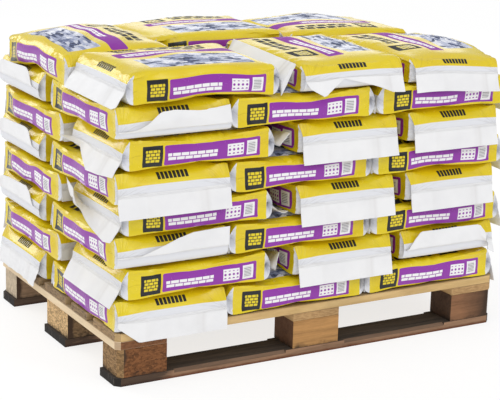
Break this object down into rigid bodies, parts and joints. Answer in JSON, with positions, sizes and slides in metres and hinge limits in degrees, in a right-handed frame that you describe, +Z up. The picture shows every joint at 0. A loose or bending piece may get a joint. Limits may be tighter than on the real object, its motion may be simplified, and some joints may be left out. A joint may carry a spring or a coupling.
{
  "type": "pallet of sacks",
  "caption": "Flat four-way-entry wooden pallet loaded with interlocked layers of filled gusseted plastic sacks of dry building material.",
  "frame": {"origin": "on the floor under the middle of the load's bounding box, which is also the middle of the pallet", "axes": "+X along the pallet's long side, to the right seen from the front; -Y is the front; +Z up"},
  "size_m": [1.212, 0.812, 0.8184],
  "materials": {
    "sack_film": "glossy yellow film with white unprinted seams",
    "deck_wood": "sawn softwood",
    "stringer_wood": "pale sawn softwood",
    "skid_wood": "weathered, dirty wood and pressed chip blocks"
  },
  "bodies": {
    "root": {"deck_board_1": "deck_wood", "deck_board_2": "deck_wood", "deck_board_3": "deck_wood", "deck_board_4": "deck_wood", "deck_board_5": "deck_wood", "stringer_board_left": "stringer_wood", "stringer_board_middle": "stringer_wood", "stringer_board_right": "stringer_wood", "skid_front": "skid_wood", "skid_middle": "skid_wood", "skid_back": "skid_wood", "sack_1_1": "sack_film", "sack_1_2": "sack_film", "sack_1_3": "sack_film", "sack_1_4": "sack_film", "sack_1_5": "sack_film", "sack_1_6": "sack_film", "sack_2_1": "sack_film", "sack_2_2": "sack_film", "sack_2_3": "sack_film", "sack_2_4": "sack_film", "sack_2_5": "sack_film", "sack_2_6": "sack_film", "sack_3_1": "sack_film", "sack_3_2": "sack_film", "sack_3_3": "sack_film", "sack_3_4": "sack_film", "sack_3_5": "sack_film", "sack_3_6": "sack_film", "sack_4_1": "sack_film", "sack_4_2": "sack_film", "sack_4_3": "sack_film", "sack_4_4": "sack_film", "sack_4_5": "sack_film", "sack_4_6": "sack_film", "sack_5_1": "sack_film", "sack_5_2": "sack_film", "sack_5_3": "sack_film", "sack_5_4": "sack_film", "sack_5_5": "sack_film", "sack_5_6": "sack_film", "sack_6_1": "sack_film", "sack_6_2": "sack_film", "sack_6_3": "sack_film", "sack_6_4": "sack_film", "sack_6_5": "sack_film", "sack_6_6": "sack_film", "sack_7_1": "sack_film", "sack_7_2": "sack_film", "sack_7_3": "sack_film", "sack_7_4": "sack_film", "sack_7_5": "sack_film", "sack_7_6": "sack_film", "sack_8_1": "sack_film", "sack_8_2": "sack_film", "sack_8_3": "sack_film", "sack_8_4": "sack_film", "sack_8_5": "sack_film", "sack_8_6": "sack_film"}
  },
  "joints": []
}
